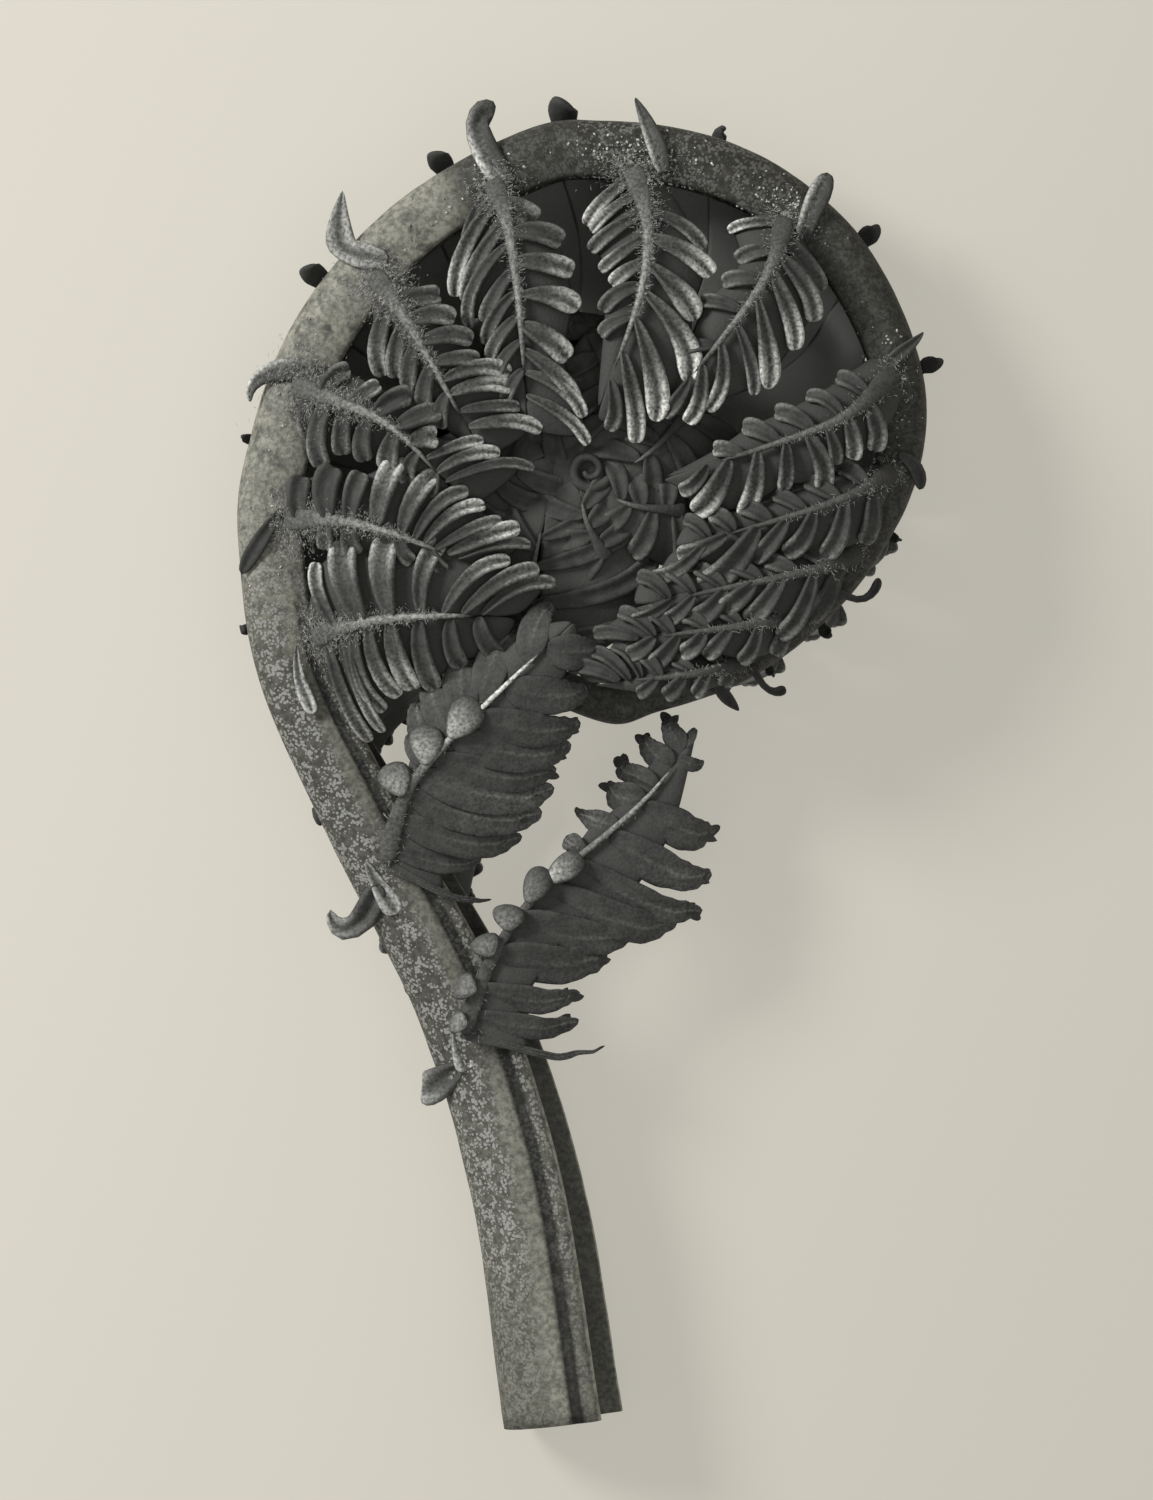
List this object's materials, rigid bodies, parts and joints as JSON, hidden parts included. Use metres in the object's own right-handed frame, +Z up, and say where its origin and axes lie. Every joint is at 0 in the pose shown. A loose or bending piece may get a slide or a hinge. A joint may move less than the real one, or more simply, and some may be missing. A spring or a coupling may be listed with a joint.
{
  "type": "ostrich fern fiddlehead",
  "caption": "Coiled young fern frond lying on its side: a grooved stalk winding into a flat spiral head, with leafy side fronds on both faces and small hooks round its rim.",
  "frame": {"origin": "centre of the bounding box in plan, at the lowest point, on the table it lies on", "axes": "+Y from the cut end of the stalk to the top of the coil, +Z up, square to the flat coil, X across the coil"},
  "size_m": [0.0408, 0.0741, 0.0109],
  "materials": {
    "stalk": "matt, fibrous, with pale speckled scurf",
    "leaflets": "matt, soft, with pale downy ridges"
  },
  "bodies": {
    "root": {"stalk": "stalk", "pinna_front_01": "leaflets", "pinna_front_02": "leaflets", "pinna_front_03": "leaflets", "pinna_front_04": "leaflets", "pinna_front_05": "leaflets", "pinna_front_06": "leaflets", "pinna_front_07": "leaflets", "pinna_front_08": "leaflets", "pinna_front_09": "leaflets", "pinna_front_10": "leaflets", "pinna_front_11": "leaflets", "pinna_front_12": "leaflets", "pinna_front_13": "leaflets", "pinna_front_14": "leaflets", "pinna_back_01": "leaflets", "pinna_back_02": "leaflets", "pinna_back_03": "leaflets", "pinna_back_04": "leaflets", "pinna_back_05": "leaflets", "pinna_back_06": "leaflets", "pinna_back_07": "leaflets", "pinna_back_08": "leaflets", "pinna_back_09": "leaflets", "pinna_back_10": "leaflets", "pinna_back_11": "leaflets", "pinna_back_12": "leaflets", "pinna_back_13": "leaflets", "pinna_inner_front_01": "leaflets", "pinna_inner_front_02": "leaflets", "pinna_inner_front_03": "leaflets", "pinna_inner_front_04": "leaflets", "pinna_inner_front_05": "leaflets", "pinna_inner_front_06": "leaflets", "pinna_inner_front_07": "leaflets", "pinna_inner_back_01": "leaflets", "pinna_inner_back_02": "leaflets", "pinna_inner_back_03": "leaflets", "pinna_inner_back_04": "leaflets", "pinna_inner_back_05": "leaflets", "pinna_inner_back_06": "leaflets", "pinna_inner_back_07": "leaflets"}
  },
  "joints": []
}
